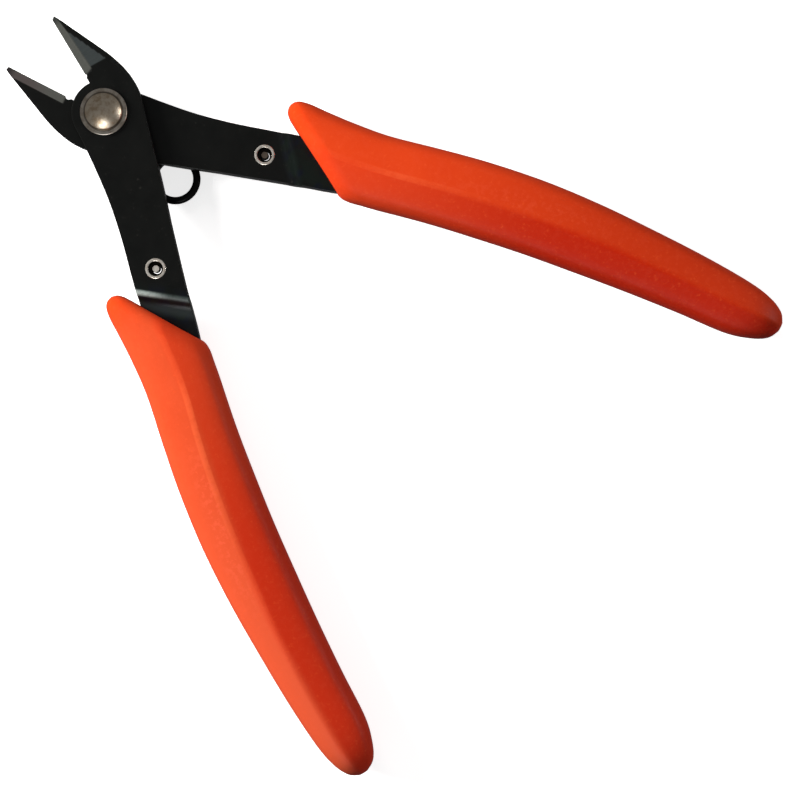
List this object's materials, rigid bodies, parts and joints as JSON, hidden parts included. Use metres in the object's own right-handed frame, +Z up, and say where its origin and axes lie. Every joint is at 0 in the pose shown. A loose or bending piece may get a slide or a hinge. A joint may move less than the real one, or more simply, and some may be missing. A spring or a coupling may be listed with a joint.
{
  "type": "flush cutter",
  "caption": "Flush cutter with lapped, riveted blades, an open coil return spring behind the plates and ridged grips with finger horns, sprung open.",
  "frame": {"origin": "bottom centre of the whole tool at rest, lying with its rivet head up", "axes": "+Z up along the rivet towards its domed head, +Y towards the jaw tips, +X towards the grip of the rear lever"},
  "size_m": [0.1008, 0.1173, 0.01],
  "materials": {
    "lever_black": "satin black oxide on carbon steel",
    "rivet_nickel": "aged nickel plate, slightly brown",
    "washer_steel": "plated steel, slightly brown",
    "spring_wire": "black oil-tempered wire",
    "eyelet_nickel": "bright nickel plate",
    "grip_red": "satin moulded vinyl, orange-red"
  },
  "bodies": {
    "rear_half": {"rear_lever": "lever_black", "rear_grip": "grip_red", "pivot_rivet": "rivet_nickel", "pivot_washer": "washer_steel", "rear_eyelet": "eyelet_nickel", "return_spring": "spring_wire"},
    "front_half": {"front_lever": "lever_black", "front_grip": "grip_red", "front_eyelet": "eyelet_nickel"}
  },
  "joints": [
    {"name": "jaw_pivot", "type": "hinge", "parent": "rear_half", "child": "front_half", "pos_m": [0, 0.04222, 0.005], "axis": [0, 0, 1], "range_deg": [-6, 35], "stiffness_Nm_per_rad": 0.8, "deforming": ["return_spring"]}
  ]
}
